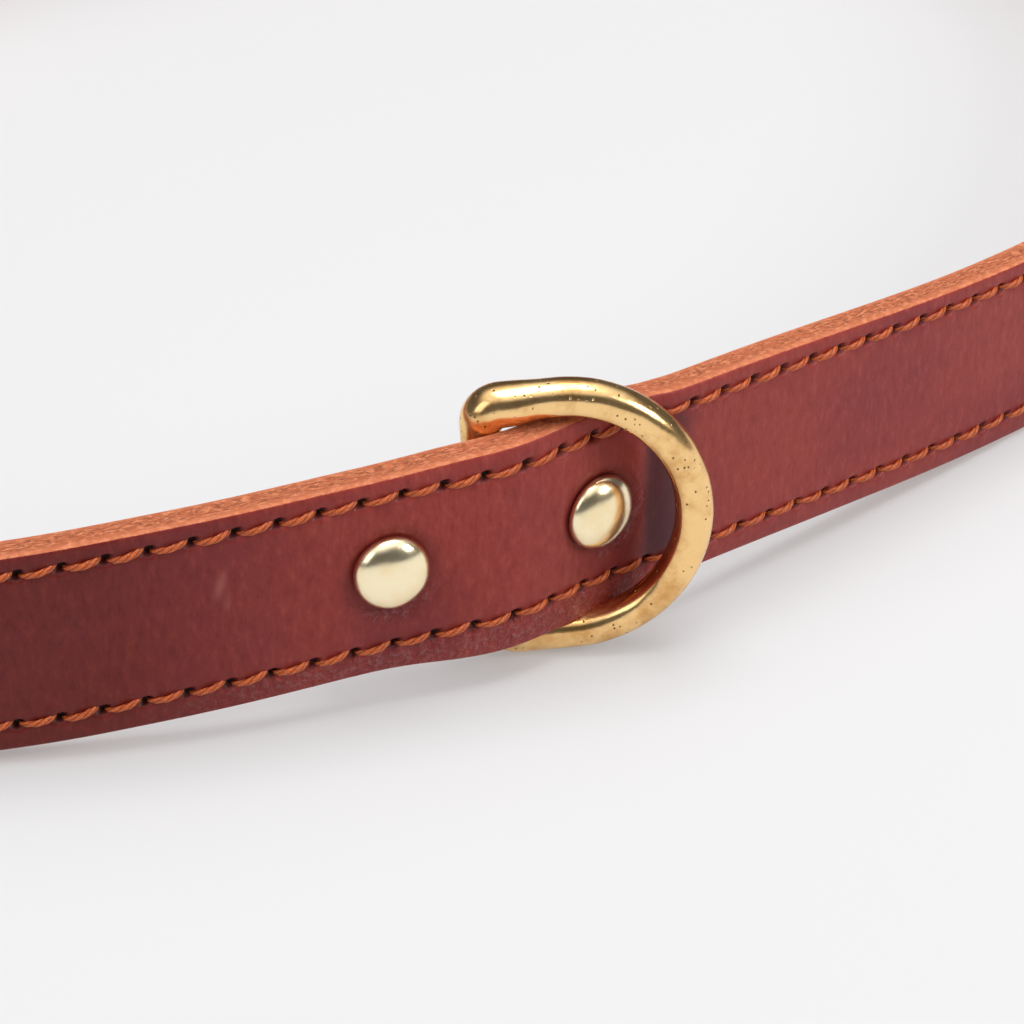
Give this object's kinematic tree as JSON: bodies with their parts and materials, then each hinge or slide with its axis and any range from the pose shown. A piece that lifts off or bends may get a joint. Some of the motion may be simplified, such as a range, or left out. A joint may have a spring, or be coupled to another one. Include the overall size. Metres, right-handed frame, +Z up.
{
  "type": "dog collar",
  "caption": "Stitched flat leather collar closed into a loop, with a cast D-ring held by a riveted tab and a plain buckle at the back.",
  "frame": {"origin": "under the middle of the collar's box, on the surface that it stands on", "axes": "+Z up across the strap's width; -Y towards the viewer of the pictured front, where the D-ring is; +X to the viewer's right"},
  "size_m": [0.2226, 0.2166, 0.0322],
  "materials": {
    "strap_leather": "waxed smooth grain, raw cut edges",
    "tab_leather": "waxed smooth grain",
    "ring_brass": "as cast, tumbled",
    "rivet_brass": "polished, slightly dented",
    "buckle_brass": "as cast, tumbled"
  },
  "bodies": {
    "collar": {"strap": "strap_leather", "ring_tab": "tab_leather", "rivet_left": "rivet_brass", "rivet_right": "rivet_brass", "buckle": "buckle_brass"},
    "ring": {"d_ring": "ring_brass"}
  },
  "joints": [
    {"name": "ring_swing", "type": "hinge", "parent": "collar", "child": "ring", "pos_m": [0.021, -0.08905, 0.01588], "axis": [-0.0686, -0.0381, 0.9969], "range_deg": [-120, 0]}
  ]
}
